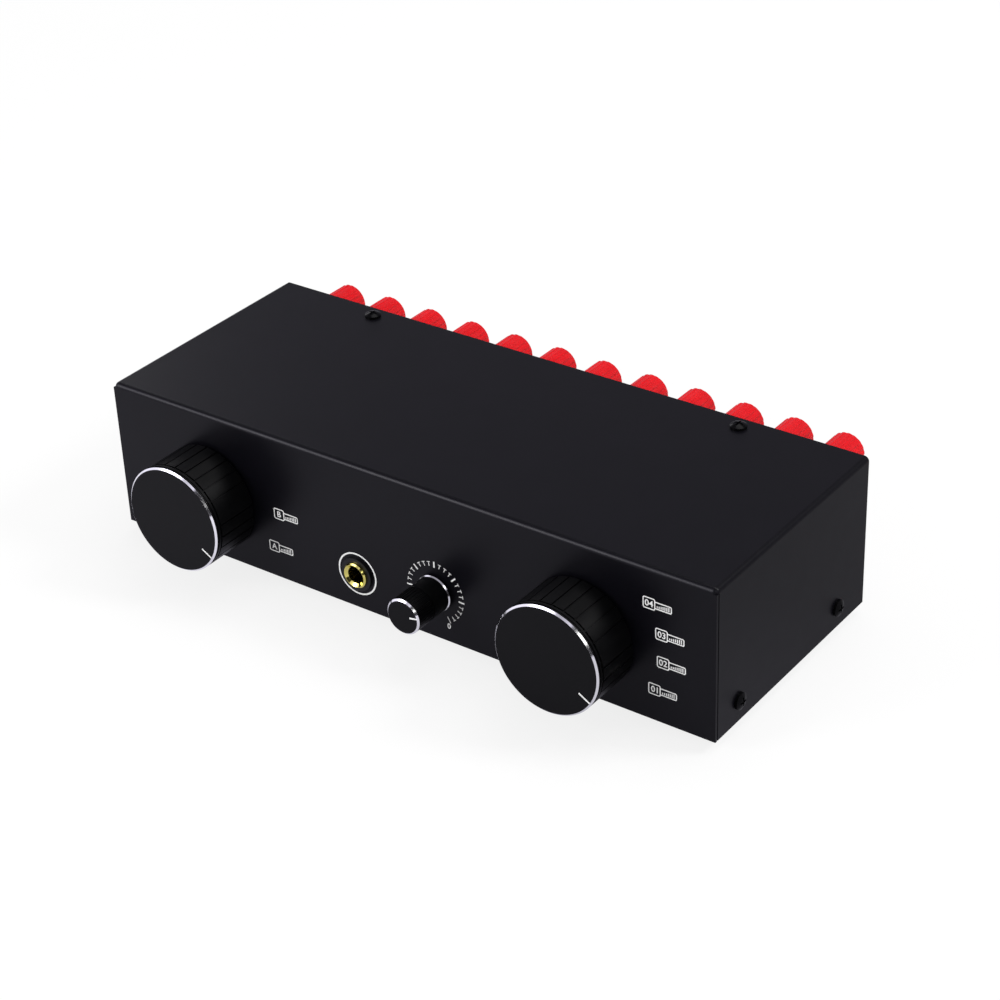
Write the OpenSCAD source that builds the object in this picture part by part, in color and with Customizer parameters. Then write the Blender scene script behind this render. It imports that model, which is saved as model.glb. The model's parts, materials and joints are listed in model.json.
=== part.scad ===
// Speaker selector switch: a folded steel box with two rotary selectors, a headphone
// volume control and a headphone socket in front, and two rows of binding posts behind.
// Millimetres. +Z is up, +X is to the right seen from the front, and the front faces -Y.
// The origin is on the surface that the feet stand on, under the middle of the whole part.

/* [Enclosure] */
// Width of the box
body_w = 250; // [246:1:320]
// Depth of the box, front panel to rear panel
body_d = 95.5; // [94:0.5:140]
// Height of the box, without its feet
body_h = 57; // [56:0.5:80]
// Thickness of the folded sheet steel
sheet_t = 1; // [0.8:0.1:1.2]
// Outer radius of the folded edges
bend_r = 1.8; // [1.6:0.1:2.4]
// Slit between the front flange and each side flange
corner_slit = 0.5; // [0.3:0.1:1]
// Height of the ears that stand up inside the side flanges
ear_h = 14; // [13:0.5:20]
// Depth of the rear panel's folded top flange
top_flange_d = 12; // [10:0.5:16]

/* [Feet] */
// Diameter of a rubber foot
foot_d = 12; // [8:0.5:16]
// Height of a rubber foot
foot_h = 4; // [2:0.5:8]
// Distance of a foot's middle from the side of the box
foot_inset_x = 18; // [12:1:40]
// Distance of a foot's middle from the front and the rear panel
foot_inset_y = 16; // [12:1:30]

/* [Cover screws] */
// Thread diameter of the cover screws
screw_d = 3; // [2.5:0.1:4]
// Head diameter of the cover screws
screw_head_d = 6; // [5:0.1:7]
// Head height of the cover screws
screw_head_h = 1.8; // [1.4:0.1:2.4]
// Length of a cover screw under its head
screw_len = 5; // [4:0.5:5.5]
// Distance of each top screw from the middle of the box
top_screw_x = 78.5; // [60:0.5:90]
// Distance of the top screws from the rear panel
top_screw_inset = 5.7; // [4.5:0.1:7]
// Distance of the front side screws from the front panel
side_screw_front = 14.3; // [12:0.1:30]
// Distance of the rear side screws from the rear panel
side_screw_rear = 18.1; // [12:0.1:30]
// Height of the side screws above the bottom of the box
side_screw_z = 7.8; // [6:0.1:9]

/* [Binding posts] */
// Distance between neighbouring columns of posts
post_pitch = 19.6; // [17:0.1:20]
// Distance of the upper row below the top of the box
post_drop = 10.9; // [10:0.1:13]
// Distance between the upper and the lower row
post_row_gap = 26; // [24:0.5:30]
// Diameter of the caps
cap_d = 13; // [11:0.1:15]
// Number of flutes round a cap
cap_flutes = 18; // [12:1:24]
// Reach of the closed caps behind the rear panel
post_reach = 18; // [17:0.5:24]
// Height of the collar under a cap
post_collar_h = 3; // [2.5:0.1:4]
// Diameter of the collars
post_collar_d = 12.4; // [10:0.1:14]
// Diameter of a metal stud where the cap runs on it
stud_d = 5.9; // [5.5:0.1:6.5]
// Diameter of a stud's tail
tail_d = 4; // [3:0.1:4.4]
// Diameter of the socket in a stud, for a banana plug
socket_d = 4; // [3.5:0.1:4.2]
// Depth of that socket
socket_depth = 11.5; // [9:0.1:11.8]
// Diameter of the cross hole for a bare wire
wire_hole_d = 2; // [1:0.1:2]

/* [Selector knobs] */
// Diameter of the two large knobs
knob_d = 39.8; // [34:0.1:44]
// Distance of their faces in front of the panel
knob_reach = 21; // [19:0.5:26]
// Gap between a large knob and the panel
knob_gap = 1; // [0.6:0.1:2]
// Width of the bright bevel round a large knob's face
knob_bevel = 0.6; // [0.4:0.1:1.2]
// Length of the shallow band behind the bevel
knob_band_len = 1.1; // [0.6:0.1:2]
// Depth of that band
knob_band_depth = 0.25; // [0.15:0.05:0.4]
// Length of the plain collar behind the band
knob_collar_len = 0.9; // [0.6:0.1:2]
// Width of the turned groove behind the collar
knob_ring_w = 0.6; // [0.4:0.1:1.2]
// Number of grooves round a large knob
knob_grooves = 27; // [18:1:36]
// Width of those grooves
knob_groove_w = 0.6; // [0.4:0.1:1]
// Depth of those grooves
knob_groove_depth = 0.5; // [0.3:0.1:0.8]
// Distance of the amplifier selector from the right side of the box
amp_inset = 49.6; // [40:0.1:55]
// Distance of the speaker selector from the left side of the box
speaker_inset = 43.2; // [36:0.1:53]
// Height of both selectors above the bottom of the box
selector_z = 24.8; // [24:0.1:30]
// Direction of their pointers in the first position, counter-clockwise from +X
selector_angle = -31; // [-60:1:0]
// Width of the engraved pointer lines
pointer_w = 0.7; // [0.4:0.1:1.2]
// Depth of the engraved pointer lines
pointer_depth = 0.3; // [0.2:0.05:0.5]
// Length of a large knob's pointer line
pointer_len = 4.8; // [3:0.1:8]

/* [Volume knob] */
// Diameter of the volume knob
volume_d = 13.2; // [13:0.1:16]
// Distance of its face in front of the panel
volume_reach = 18; // [17:0.5:24]
// Place of the volume control, from the middle of the box
volume_x = 16; // [12:0.1:30]
// Height of the volume control above the bottom of the box
volume_z = 18.1; // [17:0.1:26]
// Direction of its pointer as stored, counter-clockwise from +X
volume_angle = 12; // [-60:1:240]
// Number of fine grooves round its front half
volume_grooves = 36; // [24:2:48]

/* [Headphone socket] */
// Place of the socket, from the middle of the box
jack_x = -17.6; // [-30:0.1:-14]
// Height of the socket above the bottom of the box
jack_z = 13.7; // [12.5:0.1:20]
// Bore of the socket, for a 6.35 mm plug
jack_bore_d = 6.4; // [6.36:0.02:6.6]
// Diameter of the threaded ferrule
ferrule_d = 9.5; // [9:0.1:10.5]
// How far the ferrule stands in front of the panel
ferrule_proud = 2; // [1.8:0.1:3]
// Length of the ferrule behind the panel
ferrule_len = 10; // [8:0.5:12]
// Width and height of the socket's housing
jack_w = 15.5; // [14.5:0.5:17]
// Length of the socket's housing
jack_len = 26; // [24:0.5:30]

/* [Switches and boards] */
// Diameter of the selector shafts and of the volume shaft
shaft_d = 6; // [5:0.1:6.4]
// Diameter of the threaded bushings of the selectors
bushing_d = 9; // [8:0.1:10]
// Diameter of the selector switch housings
switch_d = 30; // [26:0.5:32]
// Length of the selector switch housings
switch_len = 18; // [14:0.5:20]
// Width and height of the selector switch boards
switch_board_w = 40; // [38:0.5:42]
// Thickness of all circuit boards
board_t = 1.6; // [1:0.1:2]
// Space between a switch housing and its board
board_standoff = 4; // [2:0.5:5]
// Diameter of the insulated wires
wire_d = 1.8; // [1:0.1:2]

/* [Clearances] */
// Radial clearance of running fits
run_gap = 0.05; // [0.02:0.01:0.09]
// Radial clearance of fixed pieces in their holes
fit_gap = 0.05; // [0.02:0.01:0.1]
// Clearance round the chassis inside the cover
cover_gap = 0.2; // [0.1:0.05:0.3]
// Gap between a closed cap and its collar
cap_gap = 0.2; // [0.1:0.05:0.4]

/* [Hidden] */
$fn = 64;
POST_COLUMNS = 12;
POLE_WIRES = 8;

// The box in the part's frame. The front knobs and the rear caps reach equally far from Y = 0.
front_y = knob_reach - (knob_reach + body_d + post_reach) / 2;
rear_y = front_y + body_d;
base_z = foot_h;
top_z = base_z + body_h;
inner_w = body_w - 2 * (sheet_t + cover_gap);
amp_x = body_w / 2 - amp_inset;
speaker_x = speaker_inset - body_w / 2;
post_top_z = body_h - post_drop;
screw_hole_gap = 0.2;
panel_gap = 0.1;

// Binding posts, measured along each post's axis from the outer face of the rear panel
stud_r = stud_d / 2;
tail_r = tail_d / 2;
stud_recess = 0.8;
stud_end = post_reach - stud_recess;
collar_ledge = 1.2;
collar_boss_r = 3.9;
post_hole_r = collar_boss_r + panel_gap;
cap_start = post_collar_h + cap_gap;
cap_bevel = 0.7;
cap_flute_r = 0.9;
cap_flute_depth = 0.35;
cap_mouth = 0.6;
cap_turn = 47;
wire_hole_at = post_collar_h + 1.2;
washer_t = 1.5;
washer_r = 5.5;
nut_af = 7;
nut_t = 2.4;
inner_nut_at = -sheet_t - washer_t - nut_t;
terminal_back = inner_nut_at - board_t;
outer_nut_at = terminal_back - nut_t;
tail_end = outer_nut_at - 1.5;
terminal_margin_x = 8;
terminal_margin_top = 4.4;
terminal_margin_low = 8;
terminal_face_y = rear_y + terminal_back;

// Controls, measured along each axis from the outer face of the front panel
shaft_r = shaft_d / 2;
shaft_front = 14;
shaft_flat = 0.5;
shaft_flat_len = 9;
end_gap = 0.5;
bushing_end = 5;
control_nut_af = 12;
control_nut_t = 2.2;
knob_recess_r = 15;
knob_recess_end = bushing_end + end_gap;
knob_bore_end = shaft_front + end_gap;
knob_ring_extra = 0.2;
knob_pitch = 360 / knob_grooves;
knob_first_groove = 0.89 * knob_pitch;
grub_turn = knob_first_groove + (floor(knob_grooves / 2) + 0.5) * knob_pitch;
grub_d = 3;
grub_len = 5;
grub_at = 8.5;
grub_key = 1.5;
switch_plate_w = 28;
switch_plate_t = 3;
lug_r = 1.4;
lug_at = 11.5;
switch_wall = 1.5;
rotor_gap = 0.3;
rotor_journal_r = 2;
plate_back = -sheet_t - switch_plate_t;
switch_back = plate_back - switch_len;
switch_board_front = switch_back - board_standoff;
switch_board_back = switch_board_front - board_t;
pin_r = 0.6;
pin_ring_r = 10.5;
pin_count = 12;
pin_stub = 1.2;

// Volume control
volume_nut_af = 10;
volume_nut_t = 2;
volume_bushing_r = 3.5;
volume_bushing_end = 5;
volume_shaft_end = 14;
volume_body_w = 17;
volume_body_len = 15;
volume_shaft_back = -sheet_t - 10;
volume_pin_w = 0.8;
volume_pin_pitch = 5;
volume_pin_at = -sheet_t - 5;
volume_gang_pitch = 7;
volume_bevel = 0.6;
volume_band_len = 8;
volume_ring_w = 0.6;
volume_ring_extra = 0.1;
volume_plain_rim = 0.5;
volume_groove_w = 0.35;
volume_groove_depth = 0.25;
volume_wall_gap = 0.25;
volume_recess_r = volume_nut_af / sqrt(3) + volume_wall_gap;
volume_recess_end = volume_nut_t + end_gap;
volume_well_r = volume_bushing_r + volume_wall_gap;
volume_well_end = volume_bushing_end + end_gap;
volume_bore_end = volume_shaft_end + end_gap;
volume_pointer_len = 3.1;

// Headphone socket and its board
jack_nut_r = 6.3;
jack_nut_t = 0.9;
jack_step_r = jack_bore_d / 2 + 0.4;
jack_slot_w = 4;
contact_t = 0.5;
contact_w = 3;
contact_gap = 0.12;
contact_reach = 3;
contact_places = [-16, -20, -24];
phones_board_top = base_z + jack_z - jack_w / 2;
phones_board_front = front_y + sheet_t + 2;
phones_board_d = 46;
phones_board_w = 60;
resistor_r = 2.4;
resistor_len = 12;
resistor_lead_r = 0.35;
resistor_leg_r = 0.4;
resistor_step = 7;
resistor_lift = 0.3;

// Wires: where they leave the switch boards and where they land on the terminal board
wire_r = wire_d / 2;
wire_sides = 6;
wire_steps = 12;
switch_pad_pitch = 4.4;
switch_pad_rise = switch_board_w / 2 - 3;
terminal_pad_pitch = 6;
terminal_pad_z = [post_top_z - post_row_gap / 2 - 3, post_top_z - post_row_gap / 2 + 3];
amp_pads_x = 60;
speaker_pads_x = -70;
link_pitch = 4;
link_inset = 1.8;
phones_pad_pitch = 8;

// ---- Places -------------------------------------------------------------------------

// Sets a shape on an axis that comes out of the front panel: local +Z points at the user
module on_front(x, z) {
    translate([x, front_y, base_z + z]) rotate([90, 0, 0]) children();
}

// Sets a shape on an axis that comes out of the rear panel: local +Z points backwards
module on_rear(x, z) {
    translate([x, rear_y, base_z + z]) rotate([-90, 0, 0]) children();
}

// Place of a column of posts across the rear panel, the first at the left seen from the front
function column_x(i) = (i - (POST_COLUMNS + 1) / 2) * post_pitch;

// Heights of the two rows of posts
upper_z = post_top_z;
lower_z = post_top_z - post_row_gap;

// Repeats a shape at every post of both rows
module at_posts() {
    for (i = [1:POST_COLUMNS])
        for (z = [lower_z, upper_z])
            on_rear(column_x(i), z) children();
}

// Repeats a shape on both selector axes
module at_selectors() {
    for (x = [amp_x, speaker_x]) on_front(x, selector_z) children();
}

// Repeats a screw at the cover's two top and four side screw holes, local +Z out of the cover
module at_cover_screws() {
    for (side = [-1, 1]) {
        translate([side * top_screw_x, rear_y - top_screw_inset, top_z]) children();
        for (y = [front_y + side_screw_front, rear_y - side_screw_rear])
            translate([side * body_w / 2, y, base_z + side_screw_z])
                rotate([0, side * 90, 0]) children();
    }
}

// ---- Shared shapes ------------------------------------------------------------------

// Upright outline of a box whose two upper corners are round
module round_top(w, h, r) {
    translate([-w / 2, 0]) square([w, h - r]);
    translate([-w / 2 + r, 0]) square([w - 2 * r, h]);
    for (side = [-1, 1]) translate([side * (w / 2 - r), h - r]) circle(r);
}

// Outline of a sheet folded through a right angle at the origin's corner: leg a along +X,
// leg b along +Y, outer bend radius r
module folded_sheet(a, b, r) {
    translate([r, 0]) square([a - r, sheet_t]);
    translate([0, r]) square([sheet_t, b - r]);
    intersection() {
        translate([r, r]) difference() {
            circle(r);
            circle(r - sheet_t);
        }
        square(r);
    }
}

// Plain tube along +Z from z0 to z1
module tube(r_out, r_in, z0, z1) {
    difference() {
        translate([0, 0, z0]) cylinder(r = r_out, h = z1 - z0);
        translate([0, 0, z0 - 1]) cylinder(r = r_in, h = z1 - z0 + 2);
    }
}

// Hexagon nut along +Z, with its lower face at z0
module hex_nut(af, thick, hole_r, z0) {
    difference() {
        translate([0, 0, z0]) cylinder(r = af / sqrt(3), h = thick, $fn = 6);
        translate([0, 0, z0 - 1]) cylinder(r = hole_r, h = thick + 2);
    }
}

// Point at share t of a smooth curve that leaves p0 towards p1 and reaches p3 from p2
function curve(p0, p1, p2, p3, t) =
    pow(1 - t, 3) * p0 + 3 * pow(1 - t, 2) * t * p1 + 3 * (1 - t) * t * t * p2 + pow(t, 3) * p3;

// Direction of that curve at share t
function curve_dir(p0, p1, p2, p3, t) =
    let (d = (1 - t) * (1 - t) * (p1 - p0) + 2 * (1 - t) * t * (p2 - p1) + t * t * (p3 - p2))
    d / norm(d);

// One insulated wire: a round tube along the curve, with its ends square to it.
// side is a direction that the curve never runs along.
module wire(p0, p1, p2, p3, side) {
    rings = [for (k = [0:wire_steps])
        let (t = k / wire_steps,
             centre = curve(p0, p1, p2, p3, t),
             ahead = curve_dir(p0, p1, p2, p3, t),
             across = cross(ahead, side),
             u = across / norm(across),
             v = cross(ahead, u))
        [for (s = [0:wire_sides - 1])
            centre + wire_r * (cos(s * 360 / wire_sides) * u + sin(s * 360 / wire_sides) * v)]];
    polyhedron(
        points = [for (ring = rings) each ring],
        faces = concat(
            [[for (s = [0:wire_sides - 1]) s]],
            [[for (s = [wire_sides - 1:-1:0]) wire_steps * wire_sides + s]],
            [for (k = [0:wire_steps - 1])
                for (s = [0:wire_sides - 1])
                    let (a = k * wire_sides + s, b = k * wire_sides + (s + 1) % wire_sides)
                    each [[a, a + wire_sides, b], [b, a + wire_sides, b + wire_sides]]]));
}

// ---- Box ----------------------------------------------------------------------------

// Folded cover: top, front flange and two side flanges in one sheet
module cover() {
    color("#1c1c1e") difference() {
        union() {
            // Top and sides
            translate([0, rear_y, base_z]) rotate([90, 0, 0])
                linear_extrude(body_d - bend_r) difference() {
                    round_top(body_w, body_h, bend_r);
                    translate([0, -1])
                        round_top(body_w - 2 * sheet_t, body_h - sheet_t + 1, bend_r - sheet_t);
                }
            // Top and front, as far as the side bends
            translate([bend_r - body_w / 2, front_y, top_z])
                rotate([90, 0, 90]) mirror([0, 1]) linear_extrude(body_w - 2 * bend_r)
                    folded_sheet(bend_r + 1, body_h, bend_r);
            // Front flange, out to the sides
            translate([-body_w / 2, front_y, base_z])
                cube([body_w, sheet_t, body_h - bend_r]);
            // Side flanges, up to the slit
            for (side = [0, 1])
                translate([side * (body_w - sheet_t) - body_w / 2,
                           front_y + sheet_t + corner_slit, base_z])
                    cube([sheet_t, bend_r + 1, body_h - bend_r]);
            // Drawn corners, where the top's bends meet
            for (side = [0, 1])
                translate([(2 * side - 1) * (body_w / 2 - bend_r), front_y + bend_r,
                           top_z - bend_r])
                    intersection() {
                        difference() {
                            sphere(bend_r);
                            sphere(bend_r - sheet_t);
                        }
                        translate([(side - 1) * bend_r, -bend_r, 0]) cube(bend_r);
                    }
        }
        at_selectors() translate([0, 0, -sheet_t - 1]) {
            cylinder(r = bushing_d / 2 + panel_gap, h = sheet_t + 2);
            translate([0, lug_at, 0]) cylinder(r = lug_r + panel_gap, h = sheet_t + 2);
        }
        on_front(volume_x, volume_z) translate([0, 0, -sheet_t - 1])
            cylinder(r = volume_bushing_r + panel_gap, h = sheet_t + 2);
        on_front(jack_x, jack_z) translate([0, 0, -sheet_t - 1])
            cylinder(r = ferrule_d / 2 + panel_gap, h = sheet_t + 2);
        at_cover_screws() translate([0, 0, -sheet_t - 1])
            cylinder(r = screw_d / 2 + screw_hole_gap, h = sheet_t + 2);
    }
}

// Folded chassis: bottom plate with two ears, and the rear panel with its top flange
module chassis() {
    flange_z = top_z - sheet_t - cover_gap;
    panel_h = flange_z - base_z;
    color("#232325") difference() {
        union() {
            // Bottom plate and ears
            translate([0, rear_y - bend_r, base_z + ear_h]) rotate([90, 0, 0]) mirror([0, 1])
                linear_extrude(body_d - bend_r - sheet_t - cover_gap) difference() {
                    round_top(inner_w, ear_h, bend_r);
                    translate([0, -1])
                        round_top(inner_w - 2 * sheet_t, ear_h - sheet_t + 1, bend_r - sheet_t);
                }
            // Bottom bend and rear panel, as far as the ears' bends
            translate([inner_w / 2 - bend_r, rear_y, base_z]) rotate([90, 0, -90])
                linear_extrude(inner_w - 2 * bend_r) folded_sheet(bend_r + 1, panel_h / 2, bend_r);
            // Rear panel and top flange
            translate([-inner_w / 2, rear_y, flange_z]) rotate([90, 0, 90])
                mirror([1, 0]) mirror([0, 1])
                linear_extrude(inner_w) folded_sheet(top_flange_d, panel_h - bend_r, bend_r);
        }
        at_posts() translate([0, 0, -sheet_t - 1]) cylinder(r = post_hole_r, h = sheet_t + 2);
        at_cover_screws() translate([0, 0, -screw_len - 1])
            cylinder(r = screw_d / 2 + fit_gap, h = screw_len + 1);
    }
}

// Four stick-on rubber feet
module rubber_feet() {
    color("#151515")
        for (side = [-1, 1])
            for (y = [front_y + foot_inset_y, rear_y - foot_inset_y])
                translate([side * (body_w / 2 - foot_inset_x), y, 0]) {
                    cylinder(r1 = foot_d / 2 - 0.8, r2 = foot_d / 2, h = foot_h / 2);
                    translate([0, 0, foot_h / 2]) cylinder(r = foot_d / 2, h = foot_h / 2);
                }
}

// Six pan head screws with a cross recess
module cover_screws() {
    edge_h = screw_head_h / 2;
    dome_h = screw_head_h - edge_h;
    dome_r = (pow(screw_head_d / 2, 2) + dome_h * dome_h) / (2 * dome_h);
    recess_l = screw_head_d * 0.55;
    recess_w = screw_head_d * 0.12;
    color("#0f0f10") at_cover_screws() {
        difference() {
            union() {
                intersection() {
                    cylinder(r = screw_head_d / 2, h = screw_head_h);
                    translate([0, 0, screw_head_h - dome_r]) sphere(dome_r);
                }
                translate([0, 0, -screw_len]) cylinder(r = screw_d / 2, h = screw_len + edge_h);
            }
            for (turn = [0, 90])
                rotate(turn) translate([-recess_l / 2, -recess_w / 2, edge_h])
                    cube([recess_l, recess_w, screw_head_h]);
        }
    }
}

// ---- Binding posts ------------------------------------------------------------------

// Metal studs with a plug socket in the end and a cross hole beside the collar
module binding_studs() {
    color("#c9b26a") at_posts() difference() {
        union() {
            translate([0, 0, collar_ledge]) cylinder(r = stud_r, h = stud_end - collar_ledge);
            translate([0, 0, tail_end]) cylinder(r = tail_r, h = collar_ledge - tail_end);
        }
        translate([0, 0, stud_end - socket_depth])
            cylinder(r = socket_d / 2, h = socket_depth + 1);
        translate([0, 0, wire_hole_at]) rotate([90, 0, 0])
            cylinder(r = wire_hole_d / 2, h = stud_d + 2, center = true);
    }
}

// Insulating collar: a seat for the stud's shoulder and a boss that lines the panel's hole
module post_collar() {
    bevel = 0.4;
    collar_r = post_collar_d / 2;
    difference() {
        union() {
            translate([0, 0, -sheet_t]) cylinder(r = collar_boss_r, h = sheet_t + 1);
            cylinder(r = collar_r, h = post_collar_h - bevel);
            translate([0, 0, post_collar_h - bevel])
                cylinder(r1 = collar_r, r2 = collar_r - bevel, h = bevel);
        }
        translate([0, 0, -sheet_t - 1]) cylinder(r = tail_r + fit_gap, h = sheet_t + post_collar_h);
        translate([0, 0, collar_ledge]) cylinder(r = stud_r + fit_gap, h = post_collar_h);
    }
}

// Collars of the upper row
module red_collars() {
    color("#c81418") for (i = [1:POST_COLUMNS]) on_rear(column_x(i), upper_z) post_collar();
}

// Collars of the lower row
module black_collars() {
    color("#161616") for (i = [1:POST_COLUMNS]) on_rear(column_x(i), lower_z) post_collar();
}

// Insulating washers behind the rear panel
module post_washers() {
    color("#e8e6df") at_posts()
        tube(washer_r, tail_r + 2 * fit_gap, -sheet_t - washer_t, -sheet_t);
}

// Two nuts on each tail: one clamps the post, one clamps the terminal board
module post_nuts() {
    color("#c9c9c9") at_posts() {
        hex_nut(nut_af, nut_t, tail_r + fit_gap, inner_nut_at);
        hex_nut(nut_af, nut_t, tail_r + fit_gap, outer_nut_at);
    }
}

// Fluted cap that screws along a stud, shown closed; each one comes to rest at a turn of its own
module cap() {
    cap_r = cap_d / 2;
    cap_len = post_reach - cap_start;
    difference() {
        intersection() {
            translate([0, 0, cap_start]) linear_extrude(cap_len) difference() {
                circle(cap_r);
                for (k = [0:cap_flutes - 1])
                    rotate(k * 360 / cap_flutes)
                        translate([cap_r + cap_flute_r - cap_flute_depth, 0])
                            circle(cap_flute_r, $fn = 24);
            }
            union() {
                translate([0, 0, cap_start]) cylinder(r = cap_r + 1, h = cap_len - cap_bevel - 1);
                translate([0, 0, post_reach - cap_bevel - 1])
                    cylinder(r1 = cap_r + 1, r2 = cap_r - cap_bevel, h = cap_bevel + 1);
            }
        }
        translate([0, 0, cap_start - 1]) cylinder(r = stud_r + run_gap, h = cap_len + 2);
        translate([0, 0, post_reach - cap_mouth])
            cylinder(r1 = stud_r + run_gap, r2 = stud_r + run_gap + 2 * cap_mouth,
                     h = 2 * cap_mouth);
    }
}

// Cap number i of the upper row
module red_cap(i) {
    color("#d9151a") on_rear(column_x(i), upper_z) rotate(i * cap_turn) cap();
}

// Cap number i of the lower row
module black_cap(i) {
    color("#141414") on_rear(column_x(i), lower_z) rotate(-i * cap_turn) cap();
}

// Circuit board that joins the posts' tails
module terminal_board() {
    half_w = (POST_COLUMNS - 1) / 2 * post_pitch + terminal_margin_x;
    z0 = base_z + lower_z - terminal_margin_low;
    z1 = base_z + upper_z + terminal_margin_top;
    color("#1f6b3a") difference() {
        translate([-half_w, terminal_face_y, z0]) cube([2 * half_w, board_t, z1 - z0]);
        at_posts() translate([0, 0, terminal_back - 1])
            cylinder(r = tail_r + 2 * fit_gap, h = board_t + 2);
    }
}

// ---- Wires --------------------------------------------------------------------------

// A row of wires from the rear face of a switch board to the terminal board
module wire_row(switch_x, switch_rise, pads_x, pads_z) {
    start_y = front_y - switch_board_back;
    reach = (terminal_face_y - start_y) / 2;
    for (i = [0:POLE_WIRES - 1]) {
        place = i - (POLE_WIRES - 1) / 2;
        p0 = [switch_x + place * switch_pad_pitch, start_y, base_z + selector_z + switch_rise];
        p3 = [pads_x + place * terminal_pad_pitch, terminal_face_y, base_z + pads_z];
        wire(p0, p0 + [0, reach, 0], p3 - [0, reach, 0], p3, [0, 0, 1]);
    }
}

// Wires of the amplifier selector
module amp_wires() {
    color("#b01c1c") wire_row(amp_x, switch_pad_rise, amp_pads_x, terminal_pad_z[1]);
    color("#b01c1c") wire_row(amp_x, -switch_pad_rise, amp_pads_x, terminal_pad_z[0]);
}

// Wires of the speaker selector, and the four that link the two selectors
module speaker_wires() {
    start_y = front_y - switch_board_back;
    arm = 14;
    reach = 30;
    color("#2a2a2c") {
        wire_row(speaker_x, switch_pad_rise, speaker_pads_x, terminal_pad_z[1]);
        for (i = [0:3]) {
            z = base_z + selector_z + (i - 1.5) * link_pitch;
            p0 = [amp_x - switch_board_w / 2 + link_inset, start_y, z];
            p3 = [speaker_x + switch_board_w / 2 - link_inset, start_y, z];
            wire(p0, p0 + [0, arm, 0], p3 + [0, arm, 0], p3, [0, 0, 1]);
        }
    }
}

// Three wires from the terminal board down to the headphone board
module headphone_wires() {
    y0 = phones_board_front + phones_board_d - 3;
    rise = 16;
    color("#d8d8d4") for (i = [-1:1]) {
        p0 = [i * phones_pad_pitch, y0, phones_board_top];
        p3 = [i * phones_pad_pitch, terminal_face_y, base_z + terminal_pad_z[0]];
        wire(p0, p0 + [0, 0, rise], p3 - [0, rise, 0], p3, [1, 0, 0]);
    }
}

// ---- Rotary selectors ---------------------------------------------------------------

// Fixed front of a rotary switch: threaded bushing, plate and the lug that stops it turning
module switch_frame() {
    difference() {
        union() {
            translate([0, 0, plate_back]) cylinder(r = bushing_d / 2, h = bushing_end - plate_back);
            translate([-switch_plate_w / 2, -switch_plate_w / 2, plate_back])
                cube([switch_plate_w, switch_plate_w, switch_plate_t]);
            translate([0, lug_at, plate_back]) cylinder(r = lug_r, h = -plate_back - 0.1);
        }
        translate([0, 0, plate_back - 1])
            cylinder(r = shaft_r + run_gap, h = bushing_end - plate_back + 2);
    }
}

// Moulded cup that holds the fixed contacts round the rotor
module switch_housing() {
    difference() {
        translate([0, 0, switch_back]) cylinder(r = switch_d / 2, h = switch_len);
        translate([0, 0, switch_back + switch_wall])
            cylinder(r = switch_d / 2 - switch_wall, h = switch_len);
        translate([0, 0, switch_back - 1])
            cylinder(r = rotor_journal_r + run_gap, h = switch_wall + 2);
    }
}

// Contact pins between a switch housing and its board
module switch_pin_ring() {
    for (k = [0:pin_count - 1])
        rotate(k * 360 / pin_count) translate([pin_ring_r, 0, switch_board_back - pin_stub])
            cylinder(r = pin_r, h = switch_back - switch_board_back + pin_stub, $fn = 24);
}

// Circuit board behind a rotary switch
module switch_board() {
    difference() {
        translate([-switch_board_w / 2, -switch_board_w / 2, switch_board_back])
            cube([switch_board_w, switch_board_w, board_t]);
        for (k = [0:pin_count - 1])
            rotate(k * 360 / pin_count) translate([pin_ring_r, 0, switch_board_back - 1])
                cylinder(r = pin_r + fit_gap, h = board_t + 2, $fn = 24);
    }
}

// Selector shaft with the contact rotor, and a flat for the knob's grub screw
module selector_shaft() {
    rotor_front = plate_back - rotor_gap;
    rotor_back = switch_back + switch_wall + rotor_gap;
    difference() {
        union() {
            translate([0, 0, rotor_back])
                cylinder(r = switch_d / 2 - switch_wall - rotor_gap, h = rotor_front - rotor_back);
            translate([0, 0, rotor_front - 1]) cylinder(r = shaft_r, h = shaft_front - rotor_front + 1);
            translate([0, 0, switch_back])
                cylinder(r = rotor_journal_r, h = rotor_back - switch_back + 1);
        }
        rotate(selector_angle + grub_turn)
            translate([shaft_r - shaft_flat, -shaft_r, shaft_front - shaft_flat_len])
                cube([shaft_r, 2 * shaft_r, shaft_flat_len + 1]);
    }
}

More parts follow.
